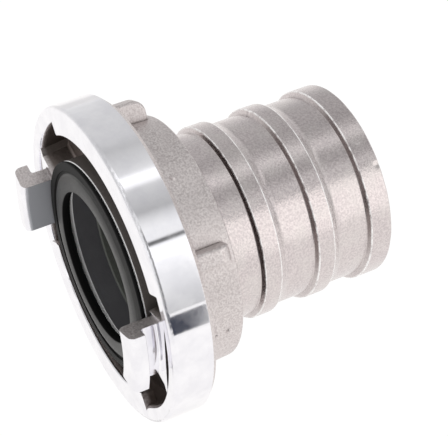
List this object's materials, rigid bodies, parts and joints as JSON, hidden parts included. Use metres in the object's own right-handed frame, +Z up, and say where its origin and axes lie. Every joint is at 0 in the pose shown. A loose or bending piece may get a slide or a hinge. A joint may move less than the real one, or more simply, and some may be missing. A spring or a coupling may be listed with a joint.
{
  "type": "lug hose coupling",
  "caption": "Aluminium hose coupling half: swivelling ring with two hooked lugs and pockets, ribbed hose tail and rubber face seal.",
  "frame": {"origin": "on the coupling's axis, in the mating plane, which is the ring's turned front face", "axes": "+Y runs along the axis from the mating plane towards the hose; the two lugs point to -Y and stand at +X and -X; +Z is up"},
  "size_m": [0.126, 0.1173, 0.126],
  "materials": {
    "forged_aluminium": "forged, turned bright on the rim and front",
    "cast_aluminium": "tumbled, satin grey",
    "seal_rubber": "moulded, matt black",
    "ring_plastic": "natural white",
    "spring_wire": "drawn wire"
  },
  "bodies": {
    "tail": {"hose_tail": "cast_aluminium", "sealing_ring": "seal_rubber", "slide_ring": "ring_plastic", "retaining_ring": "spring_wire"},
    "ring": {"lug_ring": "forged_aluminium"}
  },
  "joints": [
    {"name": "ring_swivel", "type": "hinge", "parent": "tail", "child": "ring", "pos_m": [0, 0.019, 0], "axis": [0, 1, 0], "continuous": true}
  ]
}
